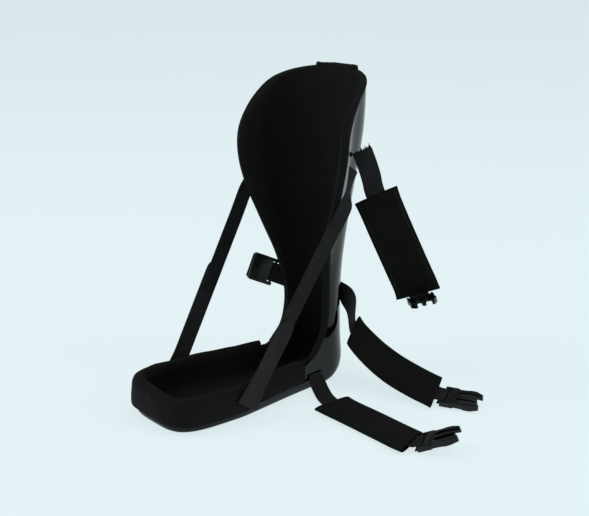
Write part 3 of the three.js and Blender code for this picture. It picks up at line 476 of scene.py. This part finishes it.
# The upper strap's root was cut cold, so its yarns have frayed into short tufts.
FRAYED_YARNS = 26
root_rows = webbing_rows("upper_strap_webbing", (0.0, 0.0, 0.4))
root_left, root_right = root_rows[0]
root_out = ((root_left + root_right) - (root_rows[1][0] + root_rows[1][1])).normalized()
fray_form = bmesh.new()
for k in range(FRAYED_YARNS):
    share = (k + 0.5) / FRAYED_YARNS
    stray = noise.noise_vector(Vector((k * 3.7, 1.0, 2.0)))
    long = 0.0030 + 0.0046 * abs(noise.noise(Vector((share * 9.0, 5.0, 0.0)))) * 2
    way = (root_out + stray * 0.35).normalized()
    middle = root_left.lerp(root_right, 0.02 + 0.96 * share) + way * (long / 2 - 0.0005)
    turn = way.to_track_quat("Z", "Y").to_matrix().to_4x4()
    bmesh.ops.create_cone(
        fray_form, segments=6, radius1=0.0008, radius2=0.0003, depth=long, cap_ends=True,
        matrix=Matrix.Translation(middle) @ turn)
make_piece("frayed_root_yarns", fray_form, black_webbing, "webbing")


# ---- Strap pads
# A sleeve of brushed tricot over thin foam, sewn along both long edges and slid onto the webbing.
tricot, tree = new_finish("brushed_tricot_over_foam")
place = add(tree, "ShaderNodeTexCoord", {})
pile = add(tree, "ShaderNodeTexNoise", {"Vector": place.outputs["Object"], "Scale": 1 / 0.0009,
    "Detail": 3.0})
nap = add(tree, "ShaderNodeTexNoise", {"Vector": place.outputs["Object"], "Scale": 1 / 0.02, "Detail": 3.0})
nap_tone = add(tree, "ShaderNodeMix", {
    "Factor": nap.outputs["Fac"], 6: srgb("#090a09"), 7: srgb("#131413")}, data_type="RGBA")
soft = add(tree, "ShaderNodeBump", {"Height": pile.outputs["Fac"], "Strength": 0.45, "Distance": 0.00025})
surface(tree, Base_Color=nap_tone.outputs[2], Roughness=0.95, Specular_IOR_Level=0.12,
    Sheen_Weight=0.05, Sheen_Roughness=0.5,
        Sheen_Tint=srgb("#6c6c70"), Normal=soft.outputs["Normal"])

PAD_HALF_WIDTH = 0.0275
PAD_HALF_HEIGHT = 0.0026
PAD_SWELL = 0.0016
PAD_AROUND = 48
PAD_ALONG = 52
SEAM_SHARE = 0.86
FIRST_PAD_ROW = 10
LAST_PAD_ROW = 21


def between(points, at):
    """A point on the smooth curve through a run of points, at a row number that may be a fraction."""
    i = min(int(at), len(points) - 2)
    t = at - i
    before, one, two = points[max(0, i - 1)], points[i], points[i + 1]
    after = points[min(len(points) - 1, i + 2)]
    return 0.5 * (2 * one + (two - before) * t + (2 * before - 5 * one + 4 * two - after) * t * t
                  + (3 * one - before - 3 * two + after) * t ** 3)


def pad_place(rows, along):
    """The middle of a pad, its way across and its way up, at a share of its length."""
    at = FIRST_PAD_ROW + along * (LAST_PAD_ROW - FIRST_PAD_ROW)
    middles = [(left + right) / 2 for left, right in rows]
    ways = [(right - left).normalized() for left, right in rows]
    across = between(ways, at).normalized()
    forward = between(middles, at + 0.05) - between(middles, at - 0.05)
    return between(middles, at), across, across.cross(forward).normalized()


def pad_point(rows, along, turn):
    """A point of the unswollen sleeve: flat between its seams and thin along its sewn edges."""
    middle, across, up = pad_place(rows, along)
    out = math.copysign(abs(math.cos(turn)) ** 0.8, math.cos(turn))
    rise = math.copysign((1 - abs(out) ** 5) ** 0.7, math.sin(turn))
    flare = 1 + 0.05 * (2 * along - 1) ** 8
    return middle + across * out * flare * PAD_HALF_WIDTH + up * (0.0007 + PAD_HALF_HEIGHT * abs(rise)) * (
        1 if rise >= 0 else -1)


pad_seams = bmesh.new()
for strap_name in STRAPS:
    node = strap_name + "_strap_pad"
    rows = webbing_rows(strap_name + "_strap_webbing", (0.0, 0.0, 0.2))
    pad_form = bmesh.new()
    bmesh.ops.create_grid(pad_form, x_segments=PAD_AROUND, y_segments=PAD_ALONG, size=0.5)
    held = pad_form.verts.layers.int.new("held")
    for vert in pad_form.verts:
        turn = (vert.co.x + 0.5) * 2 * math.pi
        out = abs(math.cos(turn)) ** 0.8
        vert[held] = int(abs(vert.co.y) > 0.499 or out > SEAM_SHARE)
        vert.co = pad_point(rows, vert.co.y + 0.5, turn)
    bmesh.ops.remove_doubles(pad_form, verts=pad_form.verts, dist=1e-6)
    bmesh.ops.recalc_face_normals(pad_form, faces=pad_form.faces)
    pinned = [v.index for v in pad_form.verts if v[held]]
    pad = make_piece(node, pad_form, tricot, "pad", node)
    inflate(pad, pinned, PAD_SWELL)
    wall = pad.modifiers.new("thickness", "SOLIDIFY")
    wall.thickness = 0.0010
    wall.offset = -1.0
    subdivide(pad, 1)
    for side in (1, -1):
        for face in (1, -1):
            turn = math.acos((SEAM_SHARE - 0.03) ** 1.25)
            turn = turn if side > 0 else math.pi - turn
            line = [pad_point(rows, 0.02 + 0.96 * k / 40, turn * face) for k in range(41)]
            ups = [pad_place(rows, 0.02 + 0.96 * k / 40)[2] * face * 0.0002 for k in range(41)]
            sew(pad_seams, line, ups)
make_piece("pad_edge_stitches", pad_seams, nylon_thread, "pad")


# ---- Buckles
# Side-release buckles moulded in black acetal: the pronged halves hang on the padded straps and the
# housings on the far tabs.
acetal, tree = new_finish("moulded_acetal")
place = add(tree, "ShaderNodeTexCoord", {})
grain = add(tree, "ShaderNodeTexNoise", {"Vector": place.outputs["Object"], "Scale": 1 / 0.0006,
    "Detail": 2.0})
handled = add(tree, "ShaderNodeTexNoise", {"Vector": place.outputs["Object"], "Scale": 1 / 0.012,
    "Detail": 3.0})
dull = add(tree, "ShaderNodeMapRange", {
    "Value": handled.outputs["Fac"], "From Min": 0.3, "From Max": 0.7, "To Min": 0.16, "To Max": 0.30})
fine = add(tree, "ShaderNodeBump", {"Height": grain.outputs["Fac"], "Strength": 0.08, "Distance": 0.0002})
surface(tree, Base_Color=srgb("#050506"), Roughness=dull.outputs["Result"], IOR=1.48, Specular_IOR_Level=0.3,
        Normal=fine.outputs["Normal"])

for strap_name in STRAPS:
    for half in ("_buckle_prongs", "_buckle_housing"):
        node = strap_name + half
        buckle_form = cad_surface(node)
        round_off(buckle_form, 0.0006, 30, segments=3)
        make_piece(node, buckle_form, acetal, "buckle", node)
